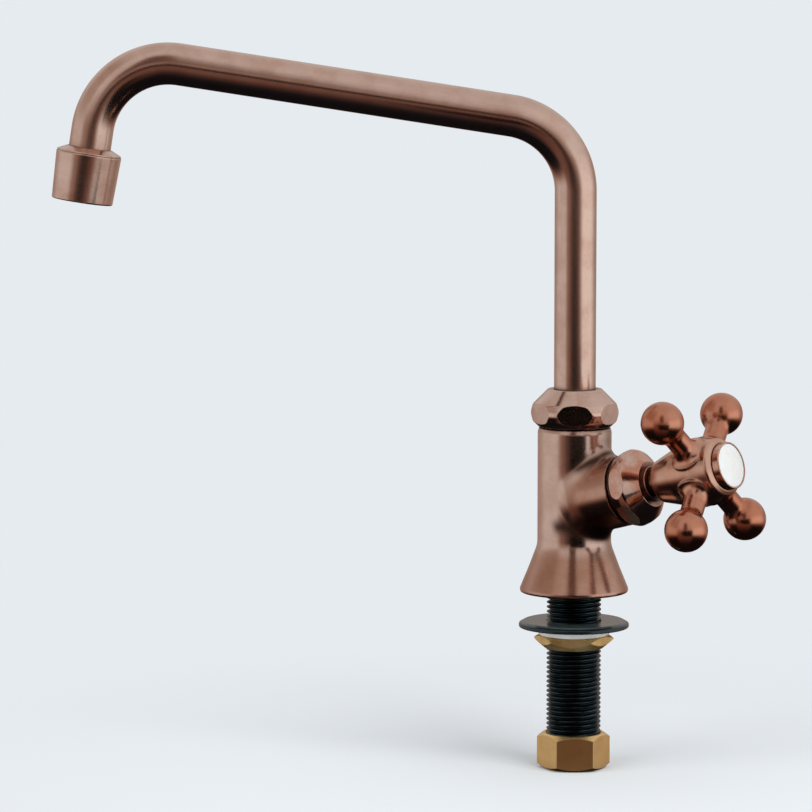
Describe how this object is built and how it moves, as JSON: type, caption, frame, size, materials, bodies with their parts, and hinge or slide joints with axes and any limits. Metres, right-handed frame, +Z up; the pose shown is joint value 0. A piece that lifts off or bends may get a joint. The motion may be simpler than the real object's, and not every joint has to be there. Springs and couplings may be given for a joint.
{
  "type": "swivel spout pillar tap",
  "caption": "Single pillar tap with a swivelling bent tube spout, a side valve with a ball-ended cross handle, a flared foot and a threaded shank with clamp nut and tail nut.",
  "frame": {"origin": "centre of the flared foot's underside, where the tap seats on its deck", "axes": "+Z up along the body and the spout's turning axis; at rest the spout points along -X; the valve and its handle point to the front right, towards +X and -Y"},
  "size_m": [0.2702, 0.0843, 0.2781],
  "materials": {
    "aged_copper": "brushed antique copper plating",
    "handle_copper": "antique copper plating, redder",
    "yellow_brass": "bare turned brass",
    "black_thread": "black coating",
    "black_rubber": "moulded",
    "bright_steel": "plain",
    "white_glaze": "glossy",
    "slip_plastic": "smooth",
    "inner_brass": "machined"
  },
  "bodies": {
    "root": {"tap_body": "aged_copper", "spout_nut": "aged_copper", "slip_washer": "slip_plastic", "lip_seal": "black_rubber", "packing_ring": "slip_plastic", "stem_packing": "black_rubber", "bonnet_nut": "aged_copper", "threaded_shank": "black_thread", "tail_nut": "yellow_brass", "tail_packing": "black_rubber"},
    "spout": {"spout_pipe": "aged_copper", "snap_ring": "bright_steel", "outlet_collar": "aged_copper", "outlet_cap": "aged_copper", "outlet_seal": "black_rubber", "outlet_screen": "bright_steel", "flow_straightener": "slip_plastic"},
    "jumper": {"jumper_valve": "inner_brass", "jumper_washer": "black_rubber", "jumper_nut": "inner_brass"},
    "handle": {"spindle": "aged_copper", "cross_handle": "handle_copper", "handle_screw": "bright_steel", "button_bezel": "handle_copper", "index_button": "white_glaze"},
    "clamp": {"deck_gasket": "black_rubber", "clamp_washer": "slip_plastic"},
    "clamp_nut": {"lock_nut": "yellow_brass"}
  },
  "joints": [
    {"name": "spout_swivel", "type": "hinge", "parent": "root", "child": "spout", "pos_m": [0, 0, 0.065], "axis": [0, 0, 1], "continuous": true},
    {"name": "valve_lift", "type": "slide", "parent": "root", "child": "jumper", "axis": [0.7649, -0.5869, 0.2656], "range_m": [0, 0.005]},
    {"name": "handle_turn", "type": "hinge", "parent": "jumper", "child": "handle", "pos_m": [0.04658, -0.03574, 0.05057], "axis": [0.7649, -0.5869, 0.2656], "range_deg": [0, 720]},
    {"name": "clamp_travel", "type": "slide", "parent": "root", "child": "clamp", "axis": [0, 0, 1], "range_m": [-0.0324, 0.01063]},
    {"name": "lock_nut_turn", "type": "hinge", "parent": "clamp", "child": "clamp_nut", "pos_m": [0, 0, -0.018], "axis": [0, 0, 1], "range_deg": [-6390, 2070]}
  ],
  "couplings": [
    {"joint": "valve_lift", "follows": "handle_turn", "m_per_rad": 0.0003978},
    {"joint": "clamp_travel", "follows": "lock_nut_turn", "m_per_rad": 0.00028871}
  ]
}
